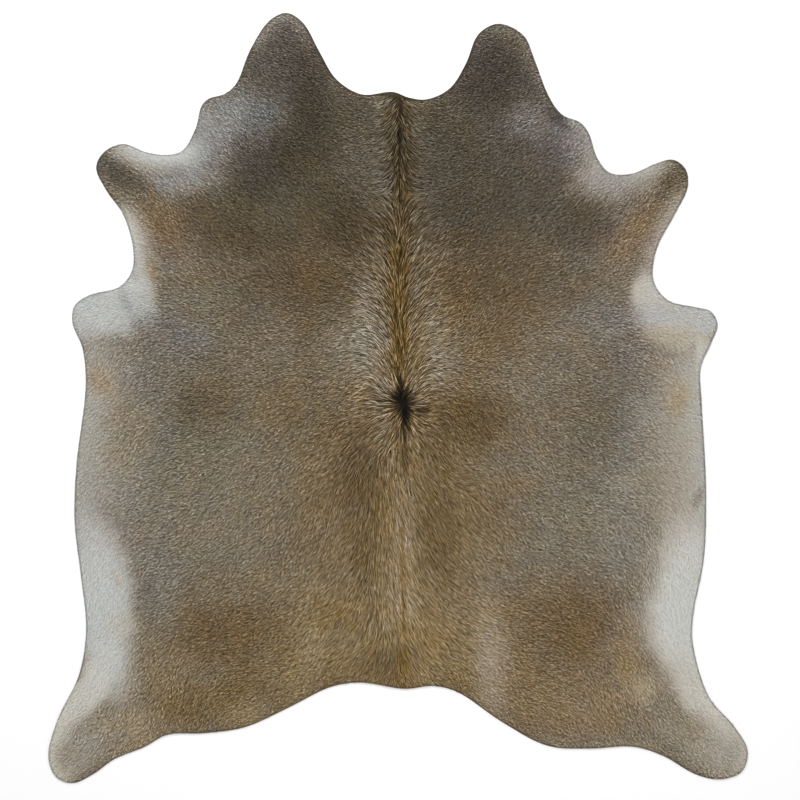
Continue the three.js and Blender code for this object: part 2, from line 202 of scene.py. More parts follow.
# The coat's ground tone, then its patches, each laid over the last. Lightness runs from 0, black, to 1,
# white. Warmth runs from 0, a cool grey, to 1, russet. A patch with a rim is seen only that near the edge.
# A white patch has a firmer edge than a brown one, and both are ragged.
GROUND = (0.43, 0.30)
WHITE = 0.6
WHITE_FIRMNESS, BROWN_FIRMNESS = 3.0, 1.6
RAGGED = 0.022  # the most that a patch's edge strays
RAGGED_SHARE = 0.3  # and the most of its reach across
PATCHES = [
    # place, x, y, reach along, reach across, turn, rim, lightness, warmth, strength
    ("saddle", 0.00, -0.30, 0.44, 0.34, 90, 0, 0.36, 0.61, 0.90),
    ("rump", 0.00, -0.80, 0.64, 0.23, 0, 0, 0.40, 0.60, 0.90),
    # The shoulders are darker than the middle, partly in their own tone and partly with painted shade from
    # the way the light falls on the hair's lie there.
    ("shoulders", -0.01, 0.62, 0.57, 0.33, 0, 0, 0.29, 0.39, 0.95),
    ("withers", 0.00, 0.33, 0.50, 0.12, 0, 0, 0.32, 0.57, 0.85),
    ("left inner shoulder", -0.25, 0.32, 0.26, 0.06, 90, 0, 0.345, 0.60, 0.50),
    ("right of the withers", 0.26, 0.20, 0.16, 0.13, 0, 0, 0.365, 0.60, 0.70),
    ("round the whorl", 0.02, -0.05, 0.21, 0.15, 0, 0, 0.345, 0.58, 0.80),
    ("whorl's collar", 0.015, -0.035, 0.085, 0.060, 90, 0, 0.37, 0.47, 0.60),
    ("left outer ribs", -0.71, 0.00, 0.12, 0.24, 0, 0, 0.39, 0.22, 0.60),
    ("left ribs' dark", -0.53, -0.02, 0.10, 0.10, 0, 0, 0.34, 0.48, 0.80),
    ("left ribs", -0.46, 0.16, 0.17, 0.13, 0, 0, 0.39, 0.35, 0.70),
    ("inner left ribs", -0.32, -0.02, 0.13, 0.12, 0, 0, 0.375, 0.56, 0.50),
    ("right outer ribs", 0.65, 0.00, 0.10, 0.24, 0, 0, 0.39, 0.18, 0.60),
    ("right ribs", 0.52, -0.06, 0.12, 0.18, 0, 0, 0.375, 0.40, 0.60),
    # the neck
    ("left neck flap", -0.34, 0.97, 0.17, 0.11, 90, 0, 0.31, 0.26, 0.90),
    ("left flap's rim", -0.36, 1.06, 0.10, 0.07, 0, 0.030, 0.50, 0.14, 0.90),
    ("left flap's inner side", -0.26, 0.89, 0.07, 0.10, 0, 0, 0.28, 0.29, 0.80),
    ("right neck flap", 0.28, 0.93, 0.14, 0.11, 90, 0, 0.26, 0.30, 0.90),
    ("right flap's rim", 0.37, 0.97, 0.13, 0.12, 0, 0.026, 0.44, 0.20, 0.85),
    ("left nape", -0.125, 0.68, 0.07, 0.11, 0, 0, 0.36, 0.30, 0.70),
    ("right nape", 0.11, 0.68, 0.06, 0.10, 0, 0, 0.315, 0.32, 0.70),
    ("right nape's tan", 0.09, 0.79, 0.04, 0.04, 0, 0, 0.30, 0.50, 0.55),
    ("dark left of the withers", -0.10, 0.48, 0.11, 0.075, 0, 0, 0.255, 0.62, 0.80),
    ("dark right of the withers", 0.14, 0.46, 0.10, 0.04, 0, 0, 0.29, 0.60, 0.60),
    ("left shoulder point", -0.50, 0.52, 0.14, 0.07, 0, 0, 0.29, 0.55, 0.60),
    ("below the left shoulder", -0.42, 0.45, 0.13, 0.04, 0, 0, 0.285, 0.60, 0.50),
    ("left shoulder's dark", -0.39, 0.65, 0.08, 0.10, 0, 0, 0.25, 0.30, 0.60),
    ("left neck", -0.27, 0.76, 0.08, 0.14, -20, 0, 0.245, 0.40, 0.70),
    ("right shoulder", 0.36, 0.67, 0.14, 0.13, 0, 0, 0.32, 0.28, 0.75),
    ("right shoulder point", 0.51, 0.50, 0.10, 0.065, 0, 0, 0.30, 0.38, 0.70),
    # from the left cheek to the left elbow
    ("left cheek's fade", -0.42, 0.80, 0.09, 0.075, 40, 0, 0.42, 0.00, 0.75),
    ("left cheek", -0.50, 0.80, 0.11, 0.06, 48, 0, 0.50, 0.04, 0.95),
    ("left cheek's rim", -0.58, 0.76, 0.11, 0.06, 65, 0.030, 0.62, 0.04, 0.60),
    ("left throat", -0.57, 0.72, 0.09, 0.045, 72, 0, 0.55, 0.00, 0.80),
    ("left cheek's grey", -0.54, 0.71, 0.065, 0.09, 0, 0, 0.51, -0.03, 0.60),
    ("left fore shank's front", -0.67, 0.68, 0.15, 0.08, 2, 0.055, 0.69, -0.04, 1.00),
    ("left fore shank's root", -0.63, 0.62, 0.10, 0.04, 0, 0, 0.52, 0.02, 0.80),
    ("left fore shank", -0.79, 0.63, 0.10, 0.035, -32, 0, 0.33, 0.33, 1.00),
    ("left elbow's tan", -0.665, 0.50, 0.10, 0.055, -45, 0, 0.385, 0.59, 0.80),
    ("left fore shank's back", -0.745, 0.40, 0.15, 0.07, -76, 0.050, 0.69, 0.02, 0.95),
    ("left brisket", -0.735, 0.305, 0.11, 0.042, -78, 0, 0.65, 0.00, 0.90),
    ("left brisket's side", -0.60, 0.28, 0.07, 0.035, 0, 0, 0.44, 0.18, 0.65),
    ("left elbow", -0.87, 0.24, 0.15, 0.075, 0, 0, 0.69, -0.08, 1.00),
    ("left armpit", -0.79, 0.305, 0.07, 0.035, 15, 0, 0.69, -0.04, 0.90),
    ("left armpit's cleft", -0.775, 0.275, 0.040, 0.018, -70, 0, 0.55, -0.06, 0.55),
    ("left elbow's russet", -0.695, 0.365, 0.028, 0.018, -65, 0, 0.50, 0.52, 0.55),
    ("left blue-grey", -0.65, 0.18, 0.12, 0.06, -18, 0, 0.43, 0.10, 0.75),
    # from the right cheek to the right elbow
    ("right cheek's fade", 0.37, 0.79, 0.075, 0.055, 0, 0, 0.42, 0.12, 0.80),
    ("right cheek", 0.51, 0.77, 0.05, 0.045, -60, 0, 0.46, 0.15, 0.90),
    ("right throat", 0.54, 0.71, 0.13, 0.075, -58, 0.065, 0.66, 0.06, 0.85),
    ("right cheek's grey", 0.46, 0.72, 0.10, 0.07, 0, 0, 0.40, 0.02, 0.60),
    # a narrow dark streak on the right cheek
    ("right cheek's dark streak", 0.455, 0.795, 0.05, 0.018, -40, 0, 0.28, 0.15, 0.70),
    ("right fore shank's front", 0.66, 0.63, 0.12, 0.07, 0, 0.045, 0.64, 0.04, 1.00),
    ("right fore shank's root", 0.59, 0.62, 0.09, 0.055, 0, 0, 0.56, 0.06, 0.75),
    ("right fore shank", 0.78, 0.61, 0.07, 0.03, 48, 0, 0.35, 0.44, 1.00),
    ("right elbow's tan", 0.67, 0.475, 0.105, 0.050, 60, 0, 0.43, 0.54, 0.85),
    ("right fore shank's back", 0.75, 0.47, 0.14, 0.06, 66, 0.032, 0.63, 0.12, 0.85),
    ("right brisket", 0.715, 0.285, 0.085, 0.045, -80, 0, 0.70, 0.04, 0.90),
    ("right elbow", 0.82, 0.22, 0.15, 0.06, -4, 0, 0.67, -0.04, 1.00),
    ("right armpit", 0.765, 0.30, 0.065, 0.035, -35, 0, 0.69, 0.02, 0.90),
    ("right elbow's beige", 0.81, 0.165, 0.11, 0.035, -8, 0, 0.63, 0.22, 0.85),
    ("right elbow's tuft", 0.842, 0.145, 0.014, 0.010, 60, 0, 0.40, 0.30, 0.60),
    ("right blue-grey", 0.60, 0.225, 0.10, 0.07, 0, 0, 0.45, 0.12, 0.75),
    # the spine
    ("dark nape stripe", 0.008, 0.71, 0.165, 0.038, 90, 0, 0.215, 0.66, 0.95),
    ("nape tuft", 0.004, 0.80, 0.07, 0.038, 90, 0, 0.235, 0.62, 0.85),
    ("russet stripe", 0.006, 0.26, 0.34, 0.030, 90, 0, 0.285, 0.88, 0.95),
    ("russet stripe's start", 0.010, 0.50, 0.085, 0.065, 90, 0, 0.265, 0.72, 0.65),
    ("left feathering", -0.045, 0.14, 0.15, 0.020, 90, 0, 0.35, 0.52, 0.70),
    ("right feathering", 0.060, 0.14, 0.15, 0.022, 90, 0, 0.34, 0.62, 0.70),
    ("left of the stripe", -0.095, 0.19, 0.13, 0.036, 85, 0, 0.40, 0.34, 0.90),
    ("right of the stripe", 0.125, 0.11, 0.09, 0.035, -75, 0, 0.40, 0.43, 0.80),
    ("stripe behind the whorl", 0.020, -0.13, 0.10, 0.012, 90, 0, 0.25, 0.72, 0.85),
    ("dark right of the whorl", 0.18, -0.07, 0.15, 0.085, 0, 0, 0.31, 0.67, 0.85),
    ("dark left of the whorl", -0.12, -0.22, 0.14, 0.085, 90, 0, 0.31, 0.66, 0.90),
    ("left behind the whorl", -0.085, -0.16, 0.045, 0.075, 0, 0, 0.285, 0.64, 0.55),
    ("right behind the whorl", 0.100, -0.15, 0.045, 0.050, 0, 0, 0.285, 0.64, 0.55),
    ("left of the loin", -0.09, -0.41, 0.125, 0.045, 90, 0, 0.32, 0.65, 0.75),
    ("right of the loin", 0.115, -0.35, 0.18, 0.05, 90, 0, 0.32, 0.65, 0.80),
    ("pale spine stripe", 0.020, -0.44, 0.21, 0.032, 90, 0, 0.43, 0.45, 0.85),
    ("pale spine spot", 0.012, -0.60, 0.09, 0.050, 90, 0, 0.44, 0.49, 0.70),
    ("russet thread", 0.013, -0.52, 0.22, 0.006, 90, 0, 0.34, 0.80, 0.70),
    # the rump
    ("left rump column", -0.265, -0.72, 0.18, 0.055, 84, 0, 0.46, 0.53, 0.75),
    ("left of the tail", -0.18, -0.62, 0.09, 0.07, 0, 0, 0.375, 0.66, 0.60),
    ("right rump column", 0.265, -0.77, 0.17, 0.05, 90, 0, 0.53, 0.30, 0.90),
    ("beside the tail", 0.02, -0.68, 0.13, 0.05, 0, 0, 0.37, 0.65, 0.50),
    ("left haunch", -0.51, -0.67, 0.135, 0.11, 0, 0, 0.36, 0.62, 0.90),
    ("left hip", -0.39, -0.66, 0.10, 0.10, 0, 0, 0.38, 0.59, 0.60),
    ("above the left haunch", -0.43, -0.52, 0.14, 0.07, 0, 0, 0.405, 0.50, 0.50),
    ("right haunch", 0.475, -0.63, 0.15, 0.11, 0, 0, 0.37, 0.63, 0.90),
    ("left butt", -0.55, -0.88, 0.16, 0.065, 8, 0, 0.38, 0.67, 0.80),
    ("left butt's edge", -0.42, -0.91, 0.08, 0.05, 15, 0, 0.47, 0.48, 0.80),
    ("right butt", 0.50, -0.88, 0.18, 0.08, -8, 0, 0.45, 0.52, 0.70),
    ("right butt's rim", 0.62, -0.97, 0.22, 0.06, -6, 0.022, 0.51, 0.35, 0.70),
    ("right thigh", 0.645, -0.75, 0.05, 0.07, 0, 0, 0.45, 0.56, 0.80),
    ("right gaskin", 0.70, -0.83, 0.05, 0.05, 0, 0, 0.56, 0.33, 0.80),
    ("left thigh", -0.665, -0.77, 0.055, 0.10, 0, 0, 0.44, 0.50, 0.70),
    ("tail", -0.045, -0.76, 0.08, 0.05, 0, 0, 0.32, 0.67, 0.85),
    ("tail root", 0.01, -0.76, 0.055, 0.02, 90, 0, 0.35, 0.78, 0.80),
    # the belly and the flanks
    ("left belly", -0.83, -0.16, 0.32, 0.12, 88, 0, 0.53, 0.14, 0.80),
    ("left belly's tan", -0.77, -0.10, 0.08, 0.10, 0, 0, 0.44, 0.42, 0.60),
    ("left belly's rim", -0.88, -0.13, 0.37, 0.12, 88, 0.075, 0.61, 0.05, 0.90),
    ("left belly's spot", -0.845, 0.045, 0.060, 0.038, -50, 0, 0.51, 0.44, 0.70),
    ("right belly", 0.81, -0.15, 0.36, 0.12, 91, 0, 0.57, 0.15, 0.85),
    ("right belly's rim", 0.84, -0.13, 0.36, 0.12, 91, 0.065, 0.64, 0.04, 0.85),
    ("right belly's curl", 0.855, -0.29, 0.035, 0.012, 70, 0, 0.46, 0.22, 0.65),
    ("right belly's spot", 0.80, -0.005, 0.055, 0.03, 75, 0, 0.55, 0.36, 0.75),
    ("right groin", 0.64, -0.40, 0.07, 0.12, 0, 0, 0.47, 0.14, 0.75),
    ("right thigh's outer side", 0.69, -0.65, 0.05, 0.12, 0, 0, 0.49, 0.26, 0.60),
    ("right belly's inner side", 0.67, -0.24, 0.08, 0.10, 0, 0, 0.51, 0.22, 0.65),
    ("right elbow's back", 0.875, 0.10, 0.07, 0.03, 90, 0, 0.69, 0.06, 0.80),
    ("left flank", -0.848, -0.61, 0.265, 0.100, 99, 0, 0.68, -0.04, 1.00),
    # The two marks below are painted shade: darker, warmer streaks where the hide folds and creases at the
    # flank.
    ("left flank's fold shade", -0.785, -0.645, 0.05, 0.040, 0, 0, 0.66, 0.08, 0.60),
    ("left flank's crease shade", -0.805, -0.515, 0.030, 0.010, 115, 0, 0.62, 0.24, 0.50),
    ("left groin", -0.67, -0.52, 0.07, 0.15, 0, 0, 0.44, 0.17, 0.70),
    ("left stifle", -0.90, -0.85, 0.17, 0.055, 58, 0, 0.71, 0.02, 0.95),
    ("left hind shank", -0.90, -1.00, 0.11, 0.07, 48, 0, 0.55, 0.15, 0.90),
    ("left shank's lower edge", -0.75, -1.00, 0.10, 0.035, 15, 0, 0.50, 0.46, 0.75),
    ("left hock", -0.77, -0.93, 0.075, 0.055, 0, 0, 0.51, 0.36, 0.80),
    ("left hind shank's rim", -0.97, -0.99, 0.20, 0.10, 62, 0.035, 0.72, 0.06, 0.85),
    ("right flank", 0.835, -0.60, 0.25, 0.130, 90, 0, 0.71, 0.00, 1.00),
    ("right stifle", 0.875, -0.90, 0.16, 0.048, -60, 0, 0.68, 0.06, 0.95),
    ("right hind shank", 0.90, -1.00, 0.11, 0.06, -30, 0, 0.56, 0.14, 0.90),
    ("right hock", 0.80, -0.93, 0.08, 0.055, -25, 0, 0.50, 0.28, 0.85),
    ("right hind shank's rim", 0.93, -0.92, 0.17, 0.10, -62, 0.032, 0.70, 0.06, 0.80),
    # the whorl
    ("whorl's front", 0.013, 0.002, 0.026, 0.022, 0, 0, 0.11, 0.80, 1.00),
    ("whorl's back", 0.021, -0.038, 0.028, 0.015, 95, 0, 0.10, 0.80, 1.00),
    ("whorl's right end", 0.060, -0.036, 0.024, 0.012, -15, 0, 0.19, 0.75, 0.80),
    ("trail before the whorl", 0.009, 0.038, 0.030, 0.006, 100, 0, 0.14, 0.85, 0.90),
    ("trail behind the whorl", 0.026, -0.078, 0.022, 0.006, -65, 0, 0.14, 0.85, 0.90),
]

# Where the coat's colour leans a little towards green, above 0, or red, below 0. The tint that a strand
# carries runs from 0, red, to 1, green.
NO_TINT = 0.5
TINTS = [
    # place, x, y, reach across the rug, reach along it, amount
    ("left ribs", -0.58, -0.22, 0.28, 0.26, 0.4),
    ("left shoulder", -0.42, 0.50, 0.20, 0.15, 0.45),
    ("left elbow's inner side", -0.50, 0.28, 0.14, 0.10, 0.3),
    ("left nape", -0.25, 0.68, 0.10, 0.16, 0.35),
    ("left groin", -0.68, -0.63, 0.05, 0.07, 0.3),
    ("right ribs", 0.52, -0.30, 0.16, 0.16, 0.15),
    ("left elbow", -0.65, 0.48, 0.10, 0.09, -0.85),
    ("left cheek", -0.46, 0.70, 0.09, 0.07, -0.5),
    ("left inner shoulder", -0.28, 0.36, 0.10, 0.08, -0.4),
    ("left belly's spot", -0.85, 0.04, 0.06, 0.06, -0.3),
    ("left belly", -0.80, -0.38, 0.10, 0.10, -0.4),
    ("spine before the whorl", 0.008, 0.24, 0.034, 0.24, -0.6),
    ("round the whorl", 0.0, -0.02, 0.10, 0.07, -0.4),
    ("spine behind the whorl", 0.015, -0.45, 0.05, 0.22, -0.25),
    ("left of the spine", -0.12, -0.24, 0.08, 0.16, -0.3),
    ("tail", 0.02, -0.78, 0.08, 0.08, -0.3),
    ("left haunch", -0.48, -0.67, 0.13, 0.08, -0.4),
    ("right haunch", 0.52, -0.68, 0.17, 0.14, -0.5),
    ("right rump column", 0.28, -0.80, 0.10, 0.12, -0.3),
    ("right butt", 0.45, -0.92, 0.16, 0.08, -0.5),
    ("right cheek", 0.46, 0.70, 0.11, 0.14, -0.5),
    ("right elbow", 0.67, 0.46, 0.09, 0.10, -0.9),
    ("right elbow's back", 0.70, 0.14, 0.12, 0.09, -0.4),
    ("right shoulder", 0.27, 0.30, 0.14, 0.10, -0.25),
    ("left neck flap", -0.27, 1.00, 0.14, 0.12, -0.5),
    ("right neck flap", 0.24, 0.93, 0.11, 0.10, -0.8),
    ("right belly", 0.78, -0.30, 0.05, 0.13, -0.35),
]

# The coat's colours: the hues at either end of warmth, and what either end of tint multiplies them by.
COOL = (0.985, 1.005, 1.01)
WARM = (1.27, 0.98, 0.32)
REDDER = (1, 0.93, 1, 1)
GREENER = (1, 1.066, 1, 1)
# The brightness of a coat of each lightness. Gloss and the shade between hairs bring it nearer to grey.
BRIGHTNESS = [(0.0, 0.0), (0.08, 0.03), (0.2, 0.135), (0.35, 0.335), (0.5, 0.54), (0.7, 0.84), (1.0, 1.0)]
# Painted shade: the skin's upper side takes this share of the coat's brightness, for the shade in the gaps
# between the strands.
UNDERCOAT_PAINTED_SHADE = 0.8


def turned(dx, dy, degrees):
    """dx and dy measured along an axis at this angle, and across it."""
    c, s = math.cos(math.radians(degrees)), math.sin(math.radians(degrees))
    return dx * c + dy * s, dy * c - dx * s


def bell(distance, reach):
    """1 at no distance, falling smoothly to about a third at this reach."""
    return np.exp(-((distance / reach) ** 2))


def ramp(value, low, high):
    """0 below low, 1 above high, smooth between them."""
    t = np.clip((value - low) / (high - low), 0, 1)
    return t * t * (3 - 2 * t)


def noise(x, y, size, seed):
    """Smooth noise from -1 to 1 with lumps of this size."""
    count = int(NOISE_WIDTH / size) + 4
    lattice = np.random.default_rng(seed).uniform(-1, 1, (count, count))
    u, v = x / size + count / 2, y / size + count / 2
    i, j = u.astype(int), v.astype(int)
    fu, fv = ramp(u - i, 0, 1), ramp(v - j, 0, 1)
    low = lattice[i, j] * (1 - fu) + lattice[i + 1, j] * fu
    high = lattice[i, j + 1] * (1 - fu) + lattice[i + 1, j + 1] * fu
    return low * (1 - fv) + high * fv


def layered(layers, x, y):
    """The sum of layers of smooth noise."""
    return sum(strength * noise(x, y, size, seed) for strength, size, seed in layers)


class Field:
    """Values on a square grid over the rug, read between its points."""

    def __init__(self, function, low, high, pitch):
        self.low, self.pitch = low, pitch
        self.xs = np.arange(low[0], high[0] + pitch, pitch)
        self.ys = np.arange(low[1], high[1] + pitch, pitch)
        gx, gy = np.meshgrid(self.xs, self.ys, indexing="ij")
        self.values = function(gx.ravel(), gy.ravel()).reshape(gx.shape)

    def __call__(self, x, y):
        u = np.clip((x - self.low[0]) / self.pitch, 0, len(self.xs) - 1.001)
        v = np.clip((y - self.low[1]) / self.pitch, 0, len(self.ys) - 1.001)
        i, j = u.astype(int), v.astype(int)
        fu, fv = u - i, v - j
        low = self.values[i, j] * (1 - fu) + self.values[i + 1, j] * fu
        high = self.values[i, j + 1] * (1 - fu) + self.values[i + 1, j + 1] * fu
        return low * (1 - fv) + high * fv


def enclosed_area(loop):
    """The area inside a loop of points, above 0 if they run counter-clockwise."""
    following = np.roll(loop, -1, 0)
    return (loop[:, 0] * following[:, 1] - following[:, 0] * loop[:, 1]).sum() / 2


def base_outline(node):
    """The edge of the CAD node's underside, as an ordered loop of points, counter-clockwise."""
    mesh = node.data
    height = min(v.co.z for v in mesh.vertices) + 1e-6
    after = {}
    for face in mesh.polygons:
        corners = [mesh.vertices[i].co for i in face.vertices]
        if any(c.z > height for c in corners):
            continue
        keys = [(round(c.x, 6), round(c.y, 6)) for c in corners]
        for a, b in zip(keys, keys[1:] + keys[:1]):
            if after.get(b) and a in after[b]:
                after[b].remove(a)
            else:
                after.setdefault(a, set()).add(b)
    start = at = next(key for key, ends in after.items() if ends)
    loop = []
    while not loop or at != start:
        loop.append(at)
        at = next(iter(after[at]))
    loop = np.array(loop)
    return loop if enclosed_area(loop) > 0 else loop[::-1]


def smooth_loop(points, step):
    """A smooth closed curve through the points, about a step apart."""
    ahead, behind = np.roll(points, -1, 0) - points, points - np.roll(points, 1, 0)
    long, last = np.linalg.norm(ahead, axis=1)[:, None], np.linalg.norm(behind, axis=1)[:, None]
    slope = (ahead / long * last + behind / last * long) / (long + last)
    found = []
    for i in range(len(points)):
        j = (i + 1) % len(points)
        t = np.arange(math.ceil(long[i, 0] / step))[:, None] / math.ceil(long[i, 0] / step)
        found.append(
            points[i] * (2 * t**3 - 3 * t**2 + 1)
            + slope[i] * long[i] * (t**3 - 2 * t**2 + t)
            + points[j] * (3 * t**2 - 2 * t**3)
            + slope[j] * long[i] * (t**3 - t**2)
        )
    return np.concatenate(found)


def edge_distance(loop):
    """A function that gives how far inside the loop a place is, or below 0 outside it."""
    following = np.roll(loop, -1, 0)
    along = following - loop

    def measure(x, y):
        found = np.empty(len(x))
        for part in np.array_split(np.arange(len(x)), len(x) // PLACES_AT_ONCE + 1):
            px, py = x[part, None], y[part, None]
            t = ((px - loop[:, 0]) * along[:, 0] + (py - loop[:, 1]) * along[:, 1]) / (along**2).sum(1)
            t = t.clip(0, 1)
            gap = np.hypot(px - loop[:, 0] - t * along[:, 0], py - loop[:, 1] - t * along[:, 1]).min(1)
            across = (loop[:, 1] > py) != (following[:, 1] > py)
            with np.errstate(divide="ignore", invalid="ignore"):
                meet = loop[:, 0] + (py - loop[:, 1]) * along[:, 0] / along[:, 1]
            inside = (across & (px < meet)).sum(1) % 2 == 1
            found[part] = np.where(inside, gap, -gap)
        return found

    return measure


def pile_top(node):
    """A function that gives the height of the CAD node's upper side."""
    tree = BVHTree.FromObject(node, bpy.context.evaluated_depsgraph_get())
    down = Vector((0, 0, -1))

    def measure(x, y):
        hits = (tree.ray_cast(Vector((a, b, 1.0)), down)[0] for a, b in zip(x.tolist(), y.tolist()))
        return np.array([SKIN_THICKNESS if hit is None else hit.z for hit in hits])

    return measure


def parting_at(y):
    """How far right of the middle the parting is."""
    places = np.array(PARTING[::-1])
    return np.interp(y, places[:, 0], places[:, 1])


def lie_at(x, y):
    """The direction in which the hair lies, as two arrays."""
    heights = np.array([row[1] for row in LIE])[::-1]
    angles = np.array([row[2] for row in LIE], float)[::-1]
    columns = np.array(LIE_OUT)
    side = np.where(x < parting_at(y), -1, 1)
    out = np.abs(x - parting_at(y))
    i = np.clip(np.searchsorted(heights, y) - 1, 0, len(heights) - 2)
    j = np.clip(np.searchsorted(columns, out) - 1, 0, len(columns) - 2)
    fi = np.clip((y - heights[i]) / (heights[i + 1] - heights[i]), 0, 1)
    fj = np.clip((out - columns[j]) / (columns[j + 1] - columns[j]), 0, 1)
    near = angles[i, j] * (1 - fi) + angles[i + 1, j] * fi
    far = angles[i, j + 1] * (1 - fi) + angles[i + 1, j + 1] * fi
    angle = near * (1 - fj) + far * fj
    for _, cx, cy, across, along, turn in TURNED:
        angle = angle + turn * np.exp(-(((x - cx) / across) ** 2) - ((y - cy) / along) ** 2)
    dx, dy = side * np.cos(np.radians(angle)), np.sin(np.radians(angle))
    # Round the whorl the hair lies away from its middle.
    wx, wy = x - WHORL[0], y - WHORL[1]
    far_off = np.hypot(wx, wy) + 1e-6
    pull = bell(far_off, WHORL_REACH)
    dx, dy = dx * (1 - pull) + wx / far_off * pull, dy * (1 - pull) + wy / far_off * pull
    long = np.hypot(dx, dy) + 1e-9
    return np.column_stack([dx / long, dy / long])


def liveliness(lightness):
    """How much the hairs differ from one another: less where the coat is pale."""
    return 1 - CALMEST * ramp(lightness, *CALM)


def tone_at(places, from_edge):
    """The coat's lightness, warmth and tint at these places, which lie this far inside the edge."""
    x, y = places[:, 0], places[:, 1]
    stray_x, stray_y = layered(STRAY_X, x, y), layered(STRAY_Y, x, y)
    tone = np.tile(GROUND, (len(x), 1)).astype(float)
    tint = np.full(len(x), NO_TINT)
    for _, cx, cy, across, along, amount in TINTS:
        tint += NO_TINT * amount * np.exp(-(((x - cx) / across) ** 2) - ((y - cy) / along) ** 2)
    for _, cx, cy, along, across, turn, rim, lightness, warmth, strength in PATCHES:
        ragged = min(RAGGED, RAGGED_SHARE * across)
        u, v = turned(x + ragged * stray_x - cx, y + ragged * stray_y - cy, turn)
        firm = WHITE_FIRMNESS if lightness > WHITE else BROWN_FIRMNESS
        share = strength * np.exp(-(((u / along) ** 2 + (v / across) ** 2) ** firm))
        if rim:
            share *= bell(from_edge, rim)
        tone += share[:, None] * (np.array((lightness, warmth)) - tone)
    live = liveliness(tone[:, 0])
    tone[:, 0] *= 1 + live * layered(LIGHTNESS_MOTTLE, x, y)
    mottle = live * layered(WARMTH_MOTTLE, x, y)
    tone[:, 1] += mottle
    tint -= TINT_MOTTLE * mottle
    return np.column_stack([tone, tint])


def spine_share(x, y):
    """1 on the spine from the neck's edge to the tail, fading out beside it."""
    breadth = BROADEST
    for stretch in NARROWING_STRETCHES:
        breadth = breadth - NARROWING * ramp(y, *stretch)
    return bell(x, SPINE_HAIR_REACH * breadth) * ramp(y, *SPINE_HAIR_FADE)


def crest_share(x, y):
    """The part of that share which lies before the whorl."""
    return spine_share(x, y) * ramp(y, *CREST_START)


def swayed(ways, degrees):
    """The directions, each turned by its own angle."""
    c, s = np.cos(np.radians(degrees)), np.sin(np.radians(degrees))
    return np.column_stack([ways[:, 0] * c - ways[:, 1] * s, ways[:, 0] * s + ways[:, 1] * c])


def unevenness(shape):
    """Random numbers on a grid, less the average round each, so that they make no broad blotches."""
    drawn = rng.normal(0, 1, shape)
    near = drawn
    steps = range(-EVENING_REACH, EVENING_REACH + 1)
    for axis in (0, 1):
        near = sum(np.roll(near, k, axis) for k in steps) / len(steps)
    return (drawn - near).clip(-MOST_UNEVEN, MOST_UNEVEN)


def strand_paths(inside):
    """Each strand's root, middle and tip, and how much it stands out from the strands round it."""
    low, high = np.array(cad_box[0][:2]), np.array(cad_box[1][:2])
    xs, ys = (np.arange(low[k], high[k], STRAND_PITCH) for k in (0, 1))
    grid = np.meshgrid(xs, ys, indexing="ij")
    x, y = (g + rng.uniform(-0.5, 0.5, g.shape) * STRAND_PITCH for g in grid)
    proud = unevenness(x.shape).ravel()
    x, y = x.ravel(), y.ravel()
    kept = inside(x, y) > ROOT_MARGIN
    x, y, proud = x[kept], y[kept], proud[kept]
    from_edge = inside(x, y)
    spine = spine_share(x, y)
    sway = layered(SWAY, x, y) + rng.normal(0, STRAND_SWAY, len(x))
    sway *= 1 - SPINE_CALM * spine
    grown = EDGE_HAIR + (1 - EDGE_HAIR) * ramp(from_edge, 0.0, EDGE_HAIR_REACH)
    length = HAIR_LENGTH * grown + SPINE_HAIR * spine
    length *= rng.uniform(*LENGTHS, len(x))
    root = np.column_stack([x, y])
    # Next to the parting, hair of either side lies over it.
    first = swayed(lie_at(x + rng.normal(0, PARTING_OVERLAP, len(x)), y), sway)
    middle = root + first * length[:, None] / 2
    second = swayed(lie_at(*middle.T), sway)
    tip = middle + second * length[:, None] / 2
    # A strand that reaches too far past the cut edge is shortened.
    end = inside(*tip.T)
    fits = (from_edge + OVERHANG) / np.maximum(from_edge - end, 1e-6)
    fits = np.where(end < -OVERHANG, np.clip(fits, SHORTEST_CUT, 1), 1)[:, None]
    return root, root + (middle - root) * fits, root + (tip - root) * fits, proud


def strand_corners(root, middle, tip, height):
    """The four corners of each strand, as a kite that rises from its root to this height at its tip."""
    count = len(root)
    way = (tip - root) / np.linalg.norm(tip - root, axis=1)[:, None]
    side = np.stack([-way[:, 1], way[:, 0]], 1)
    bend = middle + side * rng.normal(0, MIDDLE_STRAY, (count, 1))
    end = tip + side * rng.normal(0, TIP_STRAY, (count, 1))
    roll = rng.uniform(-ROLL, ROLL, count)
    half = STRAND_WIDTH / 2 * rng.uniform(*WIDTHS, count)
    lean = np.stack([side[:, 0] * np.cos(roll), side[:, 1] * np.cos(roll), np.sin(roll)], 1) * half[:, None]
    start = np.column_stack([root, np.full(count, SKIN_THICKNESS - ROOT_DEPTH)])
    bend = np.column_stack([bend, SKIN_THICKNESS + MIDDLE_RISE * height])
    end = np.column_stack([end, SKIN_THICKNESS + height])
    return np.stack([start, bend + lean, bend - lean, end], 1)


